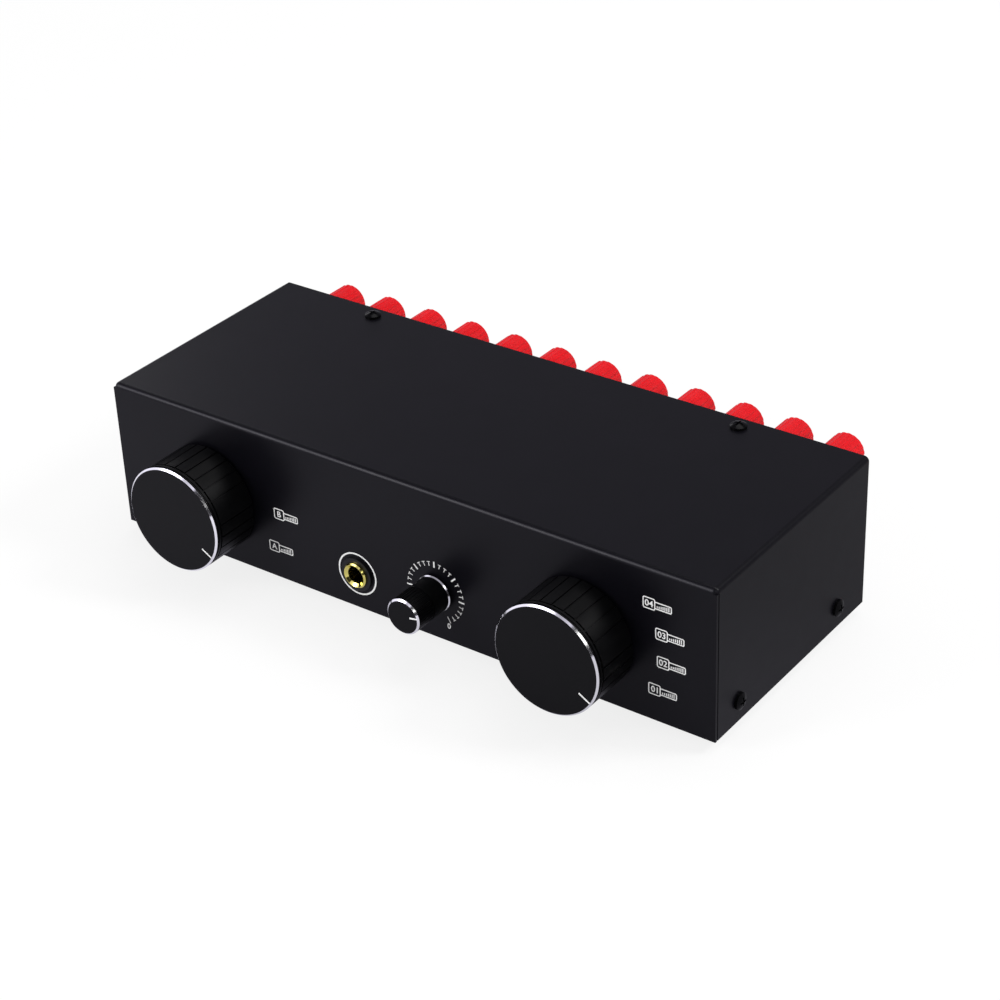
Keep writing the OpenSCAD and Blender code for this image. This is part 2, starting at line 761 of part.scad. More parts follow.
// Large knob: bevelled face, shallow band, plain collar, turned groove and a grooved body
module selector_knob() {
    knob_r = knob_d / 2;
    band_front = knob_reach - knob_bevel;
    band_back = band_front - knob_band_len;
    collar_back = band_back - knob_collar_len;
    ring_back = collar_back - knob_ring_w;
    ring_r = knob_r - knob_groove_depth - knob_ring_extra;
    back_bevel = 0.5;
    difference() {
        rotate_extrude($fn = 128) polygon([
            [0, knob_recess_end],
            [knob_recess_r, knob_recess_end],
            [knob_recess_r, knob_gap],
            [knob_r - back_bevel, knob_gap],
            [knob_r, knob_gap + back_bevel],
            [knob_r, ring_back],
            [ring_r, ring_back],
            [ring_r, collar_back],
            [knob_r, collar_back],
            [knob_r, band_back],
            [knob_r - knob_band_depth, band_back],
            [knob_r - knob_band_depth, band_front],
            [knob_r, band_front],
            [knob_r - knob_bevel, knob_reach],
            [0, knob_reach]]);
        for (k = [0:knob_grooves - 1])
            rotate(selector_angle + knob_first_groove + k * knob_pitch)
                translate([knob_r - knob_groove_depth, -knob_groove_w / 2, knob_gap - 1])
                    cube([2 * knob_groove_depth, knob_groove_w,
                          ring_back - knob_gap + 1 + knob_ring_w / 2]);
        translate([0, 0, knob_recess_end - 1])
            cylinder(r = shaft_r + fit_gap, h = knob_bore_end - knob_recess_end + 1);
        rotate(selector_angle + grub_turn) translate([0, 0, grub_at]) rotate([0, 90, 0])
            cylinder(r = grub_d / 2 + fit_gap, h = knob_r + 1);
        rotate(selector_angle)
            translate([knob_r - knob_bevel - pointer_len, -pointer_w / 2,
                       knob_reach - pointer_depth])
                cube([pointer_len + 2 * knob_bevel, pointer_w, pointer_depth + 1]);
    }
}

// Grub screw with a hexagon socket, its tip on the shaft's flat
module grub_screw() {
    rotate(selector_angle + grub_turn) translate([shaft_r - shaft_flat, 0, grub_at])
        rotate([0, 90, 0]) difference() {
            cylinder(r = grub_d / 2, h = grub_len);
            translate([0, 0, grub_len - grub_key])
                cylinder(r = grub_key / sqrt(3), h = grub_key + 1, $fn = 6);
        }
}

module amp_switch_frame() { color("#b9b9bb") on_front(amp_x, selector_z) switch_frame(); }
module amp_shaft() { color("#c4c4c4") on_front(amp_x, selector_z) selector_shaft(); }
module amp_knob() { color("#19191b") on_front(amp_x, selector_z) selector_knob(); }
module amp_knob_screw() { color("#2e2e2e") on_front(amp_x, selector_z) grub_screw(); }

module speaker_switch_frame() { color("#b9b9bb") on_front(speaker_x, selector_z) switch_frame(); }
module speaker_shaft() { color("#c4c4c4") on_front(speaker_x, selector_z) selector_shaft(); }
module speaker_knob() { color("#19191b") on_front(speaker_x, selector_z) selector_knob(); }
module speaker_knob_screw() { color("#2e2e2e") on_front(speaker_x, selector_z) grub_screw(); }

// Housings of both rotary switches
module switch_housings() {
    color("#26262a") at_selectors() switch_housing();
}

// Circuit boards of both rotary switches
module switch_boards() {
    color("#1f6b3a") at_selectors() switch_board();
}

// Contact pins of both rotary switches
module switch_pins() {
    color("#d4c27a") at_selectors() switch_pin_ring();
}

// Nuts that hold both rotary switches to the front panel
module bushing_nuts() {
    color("#c9c9c9") at_selectors()
        hex_nut(control_nut_af, control_nut_t, bushing_d / 2 + fit_gap, 0);
}

// ---- Volume control -----------------------------------------------------------------

// Two-gang potentiometer with its bushing and the six pins that stand on the headphone board
module volume_pot() {
    body_bottom = -volume_body_w / 2;
    pin_drop = base_z + volume_z + body_bottom - phones_board_top;
    color("#4a6f55") on_front(volume_x, volume_z) {
        difference() {
            union() {
                translate([0, 0, -sheet_t - 1])
                    cylinder(r = volume_bushing_r, h = sheet_t + 1 + volume_bushing_end);
                translate([body_bottom, body_bottom, -sheet_t - volume_body_len])
                    cube([volume_body_w, volume_body_w, volume_body_len]);
                for (gang = [0, 1])
                    for (k = [-1:1])
                        translate([k * volume_pin_pitch - volume_pin_w / 2,
                                   body_bottom - pin_drop,
                                   volume_pin_at - gang * volume_gang_pitch])
                            cube([volume_pin_w, pin_drop + 1, volume_pin_w]);
            }
            translate([0, 0, volume_shaft_back - rotor_gap])
                cylinder(r = shaft_r + run_gap, h = volume_bushing_end - volume_shaft_back + 2);
        }
    }
}

// Nut that holds the volume control to the front panel
module volume_nut() {
    color("#c9c9c9") on_front(volume_x, volume_z)
        hex_nut(volume_nut_af, volume_nut_t, volume_bushing_r + fit_gap, 0);
}

// Volume shaft
module volume_shaft() {
    color("#c4c4c4") on_front(volume_x, volume_z) translate([0, 0, volume_shaft_back])
        cylinder(r = shaft_r, h = volume_shaft_end - volume_shaft_back);
}

// Small knob: bevelled face, finely grooved front half and a smooth band behind it
module volume_knob() {
    volume_r = volume_d / 2;
    band_end = knob_gap + volume_band_len;
    volume_ring_r = volume_r - volume_groove_depth - volume_ring_extra;
    knurl_start = band_end + volume_ring_w / 2;
    color("#19191b") on_front(volume_x, volume_z) difference() {
        rotate_extrude($fn = 96) polygon([
            [0, volume_well_end],
            [volume_well_r, volume_well_end],
            [volume_well_r, volume_recess_end],
            [volume_recess_r, volume_recess_end],
            [volume_recess_r, knob_gap],
            [volume_r - volume_bevel / 2, knob_gap],
            [volume_r, knob_gap + volume_bevel / 2],
            [volume_r, band_end],
            [volume_ring_r, band_end],
            [volume_ring_r, band_end + volume_ring_w],
            [volume_r, band_end + volume_ring_w],
            [volume_r, volume_reach - volume_bevel],
            [volume_r - volume_bevel, volume_reach],
            [0, volume_reach]]);
        for (k = [0:volume_grooves - 1])
            rotate(volume_angle + (k + 0.5) * 360 / volume_grooves)
                translate([volume_r - volume_groove_depth, -volume_groove_w / 2, knurl_start])
                    cube([2 * volume_groove_depth, volume_groove_w,
                          volume_reach - volume_bevel - volume_plain_rim - knurl_start]);
        translate([0, 0, volume_well_end - 1])
            cylinder(r = shaft_r + fit_gap, h = volume_bore_end - volume_well_end + 1);
        rotate(volume_angle)
            translate([volume_r - volume_bevel - volume_pointer_len, -pointer_w / 2,
                       volume_reach - pointer_depth])
                cube([volume_pointer_len + 2 * volume_bevel, pointer_w, pointer_depth + 1]);
    }
}

// ---- Headphone socket ---------------------------------------------------------------

// Moulded housing with a stepped bore and an open slot below it for the contacts
module jack_housing() {
    back = -sheet_t - jack_len;
    ferrule_back = -sheet_t - ferrule_len;
    color("#101012") on_front(jack_x, jack_z) difference() {
        translate([-jack_w / 2, -jack_w / 2, back]) cube([jack_w, jack_w, jack_len]);
        translate([0, 0, ferrule_back]) cylinder(r = ferrule_d / 2 + fit_gap, h = ferrule_len + 1);
        translate([0, 0, back - 1]) cylinder(r = jack_step_r, h = jack_len);
        translate([-jack_slot_w / 2, -jack_w / 2 - 1, back + switch_wall])
            cube([jack_slot_w, jack_w / 2 + 1, jack_len - ferrule_len - 2 * switch_wall]);
    }
}

// Gold ferrule that guides the plug and carries the nut
module jack_ferrule() {
    bevel = 0.7;
    bore_r = jack_bore_d / 2;
    color("#c9a227") on_front(jack_x, jack_z) difference() {
        translate([0, 0, -sheet_t - ferrule_len])
            cylinder(r = ferrule_d / 2, h = sheet_t + ferrule_len + ferrule_proud);
        translate([0, 0, -sheet_t - ferrule_len - 1])
            cylinder(r = bore_r, h = sheet_t + ferrule_len + ferrule_proud + 2);
        translate([0, 0, ferrule_proud - bevel])
            cylinder(r1 = bore_r, r2 = bore_r + 2 * bevel, h = 2 * bevel);
    }
}

// Round black nut on the ferrule, in front of the panel
module jack_nut() {
    color("#0d0d0e") on_front(jack_x, jack_z)
        tube(jack_nut_r, ferrule_d / 2 + fit_gap, 0, jack_nut_t);
}

// Sleeve, ring and tip contacts: blades on the headphone board with a leaf beside the plug
module jack_contacts() {
    leaf_y = -jack_bore_d / 2 - contact_gap - contact_t;
    foot_y = -jack_w / 2;
    color("#d4c27a") on_front(jack_x, jack_z) for (place = contact_places) {
        translate([-contact_w / 2, foot_y, place])
            cube([contact_w, leaf_y + contact_t - foot_y, contact_t]);
        translate([-contact_w / 2, leaf_y, place])
            cube([contact_w, contact_t, contact_reach]);
    }
}

// Small board that carries the socket, the volume control and the resistors
module headphone_board() {
    color("#1f6b3a")
        translate([-phones_board_w / 2, phones_board_front, phones_board_top - board_t])
            cube([phones_board_w, phones_board_d, board_t]);
}

// Four power resistors that bring the loudspeaker level down for headphones
module headphone_resistors() {
    lead_l = resistor_len + 6;
    axis_lift = resistor_r + resistor_lift;
    color("#8fb7c9") for (side = [-1, 1])
        for (row = [0, 1])
            translate([side * (lead_l / 2 + 2),
                       phones_board_front + phones_board_d - 9 - row * resistor_step,
                       phones_board_top + axis_lift]) {
                rotate([0, 90, 0]) cylinder(r = resistor_r, h = resistor_len, center = true);
                rotate([0, 90, 0]) cylinder(r = resistor_lead_r, h = lead_l, center = true);
                for (end = [-1, 1])
                    translate([end * lead_l / 2, 0, -axis_lift])
                        cylinder(r = resistor_leg_r, h = axis_lift + resistor_leg_r, $fn = 24);
            }
}

// ---- The part -----------------------------------------------------------------------

cover();
chassis();
rubber_feet();
cover_screws();
binding_studs();
red_collars();
black_collars();
post_washers();
post_nuts();
terminal_board();
amp_wires();
speaker_wires();
headphone_wires();
amp_switch_frame();
speaker_switch_frame();
switch_housings();
switch_boards();
switch_pins();
bushing_nuts();
volume_pot();
volume_nut();
jack_housing();
jack_ferrule();
jack_nut();
jack_contacts();
headphone_board();
headphone_resistors();
amp_knob();
amp_knob_screw();
amp_shaft();
speaker_knob();
speaker_knob_screw();
speaker_shaft();
volume_knob();
volume_shaft();
for (i = [1:POST_COLUMNS]) {
    red_cap(i);
    black_cap(i);
}
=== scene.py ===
"""Looks of a speaker selector switch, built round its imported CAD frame.

The CAD nodes keep their shapes and get procedural finishes. What is thin on the real product is
modelled here: the printing on the front panel, the bright cut rims of the knobs and the paint in
their pointer grooves. The headphone ferrule gets its wide funnel. All lengths are metres.
"""

import json
import logging
import math
from dataclasses import dataclass, field
from enum import Enum
from typing import Dict, List, Optional, Sequence, Tuple, Union

import bmesh
import bpy
from mathutils import Matrix, Vector


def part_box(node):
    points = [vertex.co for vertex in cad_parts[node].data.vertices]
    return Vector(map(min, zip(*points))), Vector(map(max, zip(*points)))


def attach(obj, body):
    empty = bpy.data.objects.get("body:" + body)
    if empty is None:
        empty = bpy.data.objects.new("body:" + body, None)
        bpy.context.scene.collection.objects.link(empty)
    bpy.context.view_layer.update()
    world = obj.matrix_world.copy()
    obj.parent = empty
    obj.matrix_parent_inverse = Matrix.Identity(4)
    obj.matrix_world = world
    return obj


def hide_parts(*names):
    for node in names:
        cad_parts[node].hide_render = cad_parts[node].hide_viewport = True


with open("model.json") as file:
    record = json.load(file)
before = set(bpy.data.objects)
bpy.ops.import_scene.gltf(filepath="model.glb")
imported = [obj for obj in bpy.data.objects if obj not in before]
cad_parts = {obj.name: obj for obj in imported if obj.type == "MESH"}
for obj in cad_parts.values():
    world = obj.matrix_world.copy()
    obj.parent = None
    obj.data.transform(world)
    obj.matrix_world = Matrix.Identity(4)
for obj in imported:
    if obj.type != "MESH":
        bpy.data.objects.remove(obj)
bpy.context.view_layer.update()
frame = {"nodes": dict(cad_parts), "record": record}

Colour = Tuple[float, float, float]
Point = Tuple[float, float, float]
Pair = Tuple[float, float]
Socket = bpy.types.NodeSocket
Input = Union[float, Sequence[float], Vector, Socket]

MM = 0.001
INK_DEPTH = 0.05 * MM
WHITE: Colour = (1.0, 1.0, 1.0)
ENCLOSURE = "enclosure"

# Steps of a full spin, segments of a round corner, and the distance under which vertices merge.
RING_STEPS = 128
RIM_STEPS = 192
CORNER_SEGMENTS = 5
WELD = 1e-7

# The values that a noise texture really fills, its finer layers, and how many times more cells
# the uneven sheen has than the mottled colour.
CLOUD_SPAN: Pair = (0.3, 0.7)
GRAIN_LAYERS = 3.0
MOTTLE_LAYERS = 4.0
SHEEN_CELLS = 1.7

# Socket numbers of a Mix node for colours: share, the two colours, and the result.
MIX_SHARE, MIX_LOW, MIX_HIGH, MIX_RESULT = 0, 6, 7, 2

# Blender's own font: the height of a capital at size 1, how much bolder its strokes are made, as
# a share of the height, and the steps of its curves.
CAPITAL_HEIGHT = 0.73
STROKE_SHARE = 0.02
GLYPH_STEPS = 6

log = logging.getLogger("speaker_selector")


# ---- Finishes -----------------------------------------------------------------------


class Grain(Enum):
    """The fine relief of a surface."""

    POWDER = "cured powder coat"
    MOULDED = "moulded plastic"
    TURNED = "tool lines round an axis"
    CAST = "plain soft metal"
    INK = "screen printed ink"


@dataclass(frozen=True)
class Relief:
    """Size of a grain's bumps: noise scale per metre, height in metres, and bump strength."""

    scale: float
    height: float
    strength: float


RELIEFS: Dict[Grain, Relief] = {
    Grain.POWDER: Relief(2600.0, 0.012 * MM, 0.5),
    Grain.MOULDED: Relief(1700.0, 0.010 * MM, 0.25),
    Grain.TURNED: Relief(3300.0, 0.006 * MM, 0.35),
    Grain.CAST: Relief(900.0, 0.008 * MM, 0.2),
    Grain.INK: Relief(5200.0, 0.010 * MM, 0.4),
}


class Graph:
    """Shorthand for wiring a node tree."""

    def __init__(self, tree: bpy.types.NodeTree) -> None:
        """Takes the tree that gets the nodes."""
        self.tree = tree

    def put(self, target: Socket, value: Input) -> None:
        """Feeds an input socket.

        Args:
            target: The input socket.
            value: A number, a point, a colour without its alpha, or the socket that feeds it.
        """
        if isinstance(value, Socket):
            self.tree.links.new(value, target)
        elif target.type == "RGBA":
            target.default_value = (*value, 1.0)
        else:
            target.default_value = value

    def add(self, kind: str, inputs: Optional[Dict[Union[str, int], Input]] = None,
            **props: object) -> bpy.types.Node:
        """Adds a node.

        Args:
            kind: Blender's name of the node type.
            inputs: Socket name or number to a value, or to the socket that feeds it.
            **props: Properties of the node.

        Returns:
            The new node.
        """
        node = self.tree.nodes.new(kind)
        for key, value in props.items():
            setattr(node, key, value)
        for key, value in (inputs or {}).items():
            self.put(node.inputs[key], value)
        return node

    def maths(self, operation: str, *values: Input) -> Socket:
        """Result socket of a Math node on the given values or sockets."""
        return self.add("ShaderNodeMath", dict(enumerate(values)), operation=operation).outputs[0]

    def span(self, value: Socket, given: Pair, wanted: Pair) -> Socket:
        """Value socket mapped from one span to another, held at its ends."""
        inputs = {"Value": value, "From Min": given[0], "From Max": given[1],
                  "To Min": wanted[0], "To Max": wanted[1]}
        return self.add("ShaderNodeMapRange", inputs).outputs[0]

    def along(self, place: Socket, direction: Point) -> Socket:
        """Value socket of how far a point or a heading lies along a direction."""
        inputs = {0: place, 1: Vector(direction).normalized()}
        return self.add("ShaderNodeVectorMath", inputs, operation="DOT_PRODUCT").outputs["Value"]

    def seen(self) -> Socket:
        """Socket that is 1 for rays from the camera."""
        return self.add("ShaderNodeLightPath").outputs["Is Camera Ray"]

    def mirrored(self) -> Socket:
        """Socket that is 1 for rays from a mirror or through glass."""
        rays = self.add("ShaderNodeLightPath").outputs
        return self.maths("MAXIMUM", rays["Is Glossy Ray"], rays["Is Transmission Ray"])


class Nodes(Graph):
    """Shorthand for wiring one material's nodes."""

    def __init__(self, name: str) -> None:
        """Makes the material and finds its shader.

        Args:
            name: Name of the new material.
        """
        self.material = bpy.data.materials.new(name)
        self.material.use_nodes = True
        super().__init__(self.material.node_tree)
        self.shader = self.tree.nodes["Principled BSDF"]
        self.place = self.add("ShaderNodeTexCoord").outputs["Object"]

    def noise(self, scale: float, layers: float) -> Socket:
        """Value socket, 0 to 1, of a noise texture by its cells per metre and finer layers."""
        inputs = {"Vector": self.place, "Scale": scale, "Detail": layers}
        return self.add("ShaderNodeTexNoise", inputs).outputs[0]

    def sideways(self) -> Socket:
        """Value socket of the coordinate that runs from left to right."""
        return self.add("ShaderNodeSeparateXYZ", {0: self.place}).outputs["X"]

    def centred(self, centre: Point) -> Socket:
        """Coordinates counted from a centre."""
        shift = tuple(-value for value in centre)
        return self.add("ShaderNodeMapping", {0: self.place, "Location": shift}).outputs[0]

    def between(self, value: Socket, low: float, high: float) -> Socket:
        """Mask socket: 1 where the value lies between two limits."""
        return self.maths("COMPARE", value, (low + high) / 2.0, (high - low) / 2.0)

    def mix(self, share: Socket, low: Input, high: Input) -> Socket:
        """Colour socket of a mix: the low colour at a share of 0, the high one at 1."""
        inputs = {MIX_SHARE: share, MIX_LOW: low, MIX_HIGH: high}
        return self.add("ShaderNodeMix", inputs, data_type="RGBA").outputs[MIX_RESULT]

    def feed(self, socket: str, value: Input) -> None:
        """Feeds one of the shader's sockets with a number, a colour or another socket."""
        self.put(self.shader.inputs[socket], value)

    def bump(self, height: Socket, relief: Relief) -> None:
        """Feeds the shader's normal with the bumps of a height socket, 0 to 1."""
        inputs = {"Strength": relief.strength, "Distance": relief.height, "Height": height}
        self.feed("Normal", self.add("ShaderNodeBump", inputs).outputs[0])


@dataclass(frozen=True)
class Finish:
    """A procedural finish: colour that varies a little, uneven sheen and a fine grain."""

    name: str
    colour: Colour
    roughness: float
    grain: Grain = Grain.MOULDED
    metallic: float = 0.0
    specular: float = 0.5
    mottle: float = 0.12
    mottle_scale: float = 140.0
    sheen_spread: float = 0.06
    coat: float = 0.0

    def material(self, centre: Optional[Point]) -> bpy.types.Material:
        """Builds the material.

        Args:
            centre: A point on the axis along Y that turned lines run round, or None.

        Returns:
            The finished material.
        """
        nodes = Nodes(self.name)
        nodes.feed("Base Color", self.paint(nodes))
        nodes.feed("Metallic", self.metallic)
        nodes.feed("Specular IOR Level", self.specular)
        nodes.feed("Coat Weight", self.coat)
        cloud = nodes.noise(self.mottle_scale * SHEEN_CELLS, GRAIN_LAYERS)
        low, high = self.roughness - self.sheen_spread, self.roughness + self.sheen_spread
        nodes.feed("Roughness", nodes.span(cloud, CLOUD_SPAN, (low, high)))
        relief = RELIEFS[self.grain]
        nodes.bump(self.height(nodes, relief, centre), relief)
        return nodes.material

    def paint(self, nodes: Nodes) -> Socket:
        """Colour socket: the colour, mottled.

        Args:
            nodes: The material that it belongs to.

        Returns:
            The socket.
        """
        dark = tuple(value * (1.0 - self.mottle) for value in self.colour)
        light = tuple(min(1.0, value * (1.0 + self.mottle)) for value in self.colour)
        cloud = nodes.noise(self.mottle_scale, MOTTLE_LAYERS)
        return nodes.mix(nodes.span(cloud, CLOUD_SPAN, (0.0, 1.0)), dark, light)

    def height(self, nodes: Nodes, relief: Relief, centre: Optional[Point]) -> Socket:
        """Height socket of the grain.

        Args:
            nodes: The material that it belongs to.
            relief: The grain's size.
            centre: A point on the axis of turned lines, or None.

        Returns:
            The socket, 0 to 1.
        """
        if self.grain is not Grain.TURNED or centre is None:
            return nodes.noise(relief.scale, GRAIN_LAYERS)
        flat = nodes.add("ShaderNodeVectorMath", {0: nodes.centred(centre), 1: (1.0, 0.0, 1.0)},
                         operation="MULTIPLY").outputs["Vector"]
        radius = nodes.add("ShaderNodeVectorMath", {0: flat}, operation="LENGTH").outputs["Value"]
        return nodes.add("ShaderNodeTexNoise", {"W": radius, "Scale": relief.scale},
                         noise_dimensions="1D").outputs[0]


@dataclass(frozen=True)
class Board(Finish):
    """Solder mask over copper tracks, which show through it as paler lines.

    The runs of track and the islands that break them up are counted per pitch of the board.
    """

    track: Colour = (0.05, 0.24, 0.09)
    pitch: float = 2.54 * MM
    runs: float = 0.25
    run_edge: float = 0.06
    run_softness: float = 0.1
    islands: float = 0.6
    island_reach: Pair = (0.25, 1.2)

    def paint(self, nodes: Nodes) -> Socket:
        """Colour socket: tracks over the mask, broken up by islands.

        Args:
            nodes: The material that it belongs to.

        Returns:
            The socket.
        """
        ground = super().paint(nodes)
        bricks = nodes.add("ShaderNodeTexBrick", {
            "Vector": nodes.place, "Scale": self.runs / self.pitch,
            "Mortar Size": self.run_edge, "Mortar Smooth": self.run_softness})
        cells = nodes.add("ShaderNodeTexVoronoi", {
            "Vector": nodes.place, "Scale": self.islands / self.pitch},
            distance="MANHATTAN", feature="F1").outputs["Distance"]
        ways = nodes.maths("MULTIPLY", bricks.outputs["Fac"],
                           nodes.between(cells, *self.island_reach))
        return nodes.mix(ways, ground, self.track)


@dataclass(frozen=True)
class Banded(Finish):
    """Resistor lacquer with colour bands across its length, and tinned leads."""

    bands: Tuple[Tuple[float, Colour], ...] = ()
    half_band: float = 0.45 * MM
    half_body: float = 6.0 * MM
    middle: float = 11.0 * MM
    lead: Colour = (0.62, 0.62, 0.6)

    def paint(self, nodes: Nodes) -> Socket:
        """Colour socket: the bands by distance from each body's middle.

        Args:
            nodes: The material that it belongs to.

        Returns:
            The socket.
        """
        colour = super().paint(nodes)
        along = nodes.maths("SUBTRACT", nodes.maths("ABSOLUTE", nodes.sideways()), self.middle)
        for place, band in self.bands:
            mask = nodes.between(along, place - self.half_band, place + self.half_band)
            colour = nodes.mix(mask, colour, band)
        body = nodes.between(along, -self.half_body, self.half_body)
        return nodes.mix(body, self.lead, colour)


BLACK_POWDER = Finish("black_powder_coat", (0.0028, 0.0026, 0.0042), 0.33, Grain.POWDER,
                      specular=0.12, mottle=0.08, mottle_scale=70.0, sheen_spread=0.015)
WHITE_INK = Finish("white_ink", (0.86, 0.86, 0.86), 0.55, Grain.INK, specular=0.3, mottle=0.03)
CUT_METAL = Finish("bright_cut_aluminium", (0.93, 0.93, 0.93), 0.13, Grain.TURNED, metallic=1.0,
                   mottle=0.03, sheen_spread=0.03)

FINISHES: Dict[str, Finish] = {
    "powder_coat_cover": BLACK_POWDER,
    "powder_coat_chassis": Finish("black_powder_coat_chassis", (0.0031, 0.0029, 0.0044), 0.37,
                                  Grain.POWDER, specular=0.12, mottle=0.08, mottle_scale=80.0,
                                  sheen_spread=0.015),
    "foot_rubber": Finish("foot_rubber", (0.014, 0.014, 0.014), 0.72, specular=0.25, mottle=0.25),
    "black_screw": Finish("black_screw", (0.0022, 0.0022, 0.0026), 0.2, Grain.CAST, specular=0.07),
    "gold_plate": Finish("gold_plate", (0.8, 0.62, 0.3), 0.14, Grain.TURNED, metallic=1.0),
    "red_collar": Finish("red_collar", (0.6, 0.004, 0.009), 0.3, specular=0.25, mottle=0.06),
    "black_collar": Finish("black_collar", (0.013, 0.013, 0.013), 0.3, specular=0.4),
    "red_cap": Finish("red_cap", (0.66, 0.003, 0.007), 0.25, specular=0.35, mottle=0.06),
    "black_cap": Finish("black_cap", (0.013, 0.013, 0.013), 0.33, specular=0.4),
    "white_washer": Finish("white_washer", (0.72, 0.71, 0.67), 0.5, mottle=0.05),
    "zinc_nut": Finish("zinc_nut", (0.62, 0.62, 0.6), 0.34, Grain.CAST, metallic=1.0),
    "board": Board("board", (0.014, 0.12, 0.04), 0.38, coat=0.3),
    "red_wire": Finish("red_wire", (0.4, 0.014, 0.014), 0.42, mottle=0.08),
    "black_wire": Finish("black_wire", (0.02, 0.02, 0.021), 0.42),
    "white_wire": Finish("white_wire", (0.64, 0.64, 0.6), 0.42, mottle=0.06),
    "switch_metal": Finish("switch_metal", (0.5, 0.5, 0.5), 0.36, Grain.CAST, metallic=1.0),
    "switch_moulding": Finish("switch_moulding", (0.02, 0.02, 0.022), 0.55),
    "contact_brass": Finish("contact_brass", (0.7, 0.58, 0.3), 0.3, Grain.CAST, metallic=1.0),
    "pot_body": Finish("pot_body", (0.05, 0.15, 0.085), 0.5),
    "jack_gold": Finish("jack_gold", (0.82, 0.73, 0.2), 0.12, Grain.TURNED, metallic=1.0,
                        sheen_spread=0.03),
    "black_nut": Finish("black_nut", (0.006, 0.006, 0.0065), 0.35, specular=0.2),
    "resistor": Banded("resistor", (0.24, 0.44, 0.55), 0.4, coat=0.4, bands=(
        (-4.2 * MM, (0.35, 0.02, 0.01)), (-2.2 * MM, (0.02, 0.02, 0.02)),
        (-0.2 * MM, (0.02, 0.02, 0.02)), (3.6 * MM, (0.3, 0.09, 0.03)))),
    "black_alloy": Finish("black_anodised", (0.0016, 0.0016, 0.0019), 0.42, Grain.TURNED,
                          specular=0.095, mottle=0.06, sheen_spread=0.02),
    "grub_steel": Finish("grub_steel", (0.07, 0.07, 0.07), 0.4, Grain.CAST, metallic=1.0),
    "shaft_metal": Finish("shaft_metal", (0.66, 0.66, 0.66), 0.3, Grain.TURNED, metallic=1.0),
}


# ---- Shapes -------------------------------------------------------------------------


def facing_front(x: float, y: float, z: float) -> Matrix:
    """Placement whose local X runs right, local Y up and local Z out of the front panel."""
    return Matrix.Translation((x, y, z)) @ Matrix.Rotation(math.pi / 2.0, 4, "X")


@dataclass
class Piece:
    """A new piece of the scene, made from one bmesh."""

    name: str
    body: str
    slot: str
    finish: Finish
    smooth_deg: float = 35.0

    def write(self, shape: bmesh.types.BMesh, place: Matrix,
              centre: Optional[Point] = None) -> bpy.types.Object:
        """Writes the shape to an object that rides on the piece's body.

        Args:
            shape: The finished bmesh; it is freed.
            place: Where it goes; the object itself stays at the origin.
            centre: A point on the axis of turned lines, or None.

        Returns:
            The object.
        """
        bmesh.ops.transform(shape, matrix=place, verts=shape.verts)
        bmesh.ops.recalc_face_normals(shape, faces=shape.faces)
        limit = math.radians(self.smooth_deg)
        for face in shape.faces:
            face.smooth = True
        for edge in shape.edges:
            edge.smooth = len(edge.link_faces) == 2 and edge.calc_face_angle(0.0) < limit
        mesh = bpy.data.meshes.new(self.name)
        shape.to_mesh(mesh)
        shape.free()
        piece = bpy.data.objects.new(self.name, mesh)
        bpy.context.scene.collection.objects.link(piece)
        mesh.materials.append(self.finish.material(centre))
        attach(piece, self.body)
        log.info("made %s on %s", self.name, self.body)
        return piece


def block(shape: bmesh.types.BMesh, low: Point, high: Point, turn: float = 0.0,
          bevel: float = 0.0) -> None:
    """Adds a block with softened edges, turned about local Z through the origin.

    Args:
        shape: The bmesh that takes it.
        low: Lowest corner.
        high: Highest corner.
        turn: Turn in radians.
        bevel: Width of the softened edges.
    """
    size = [b - a for a, b in zip(low, high)]
    middle = [(a + b) / 2.0 for a, b in zip(low, high)]
    scale = Matrix.Diagonal((*size, 1.0))
    place = Matrix.Rotation(turn, 4, "Z") @ Matrix.Translation(middle) @ scale
    made = bmesh.ops.create_cube(shape, size=1.0, matrix=place)
    if bevel > 0.0:
        edges = list({edge for vert in made["verts"] for edge in vert.link_edges})
        bmesh.ops.bevel(shape, geom=edges, offset=bevel, segments=2, profile=0.5, affect="EDGES",
                        material=-1)


def spun(shape: bmesh.types.BMesh, profile: Sequence[Pair], steps: int = RING_STEPS) -> None:
    """Adds a ring: a closed profile of (radius, height) spun about local Z.

    Args:
        shape: The bmesh that takes it.
        profile: Corners of the profile, in order.
        steps: Number of steps round the ring.
    """
    verts = [shape.verts.new((radius, 0.0, height)) for radius, height in profile]
    edges = [shape.edges.new((verts[k], verts[(k + 1) % len(verts)])) for k in range(len(verts))]
    bmesh.ops.spin(shape, geom=verts + edges, cent=(0.0, 0.0, 0.0), axis=(0.0, 0.0, 1.0),
                   angle=2.0 * math.pi, steps=steps, use_merge=True)
    bmesh.ops.remove_doubles(shape, verts=shape.verts, dist=WELD)


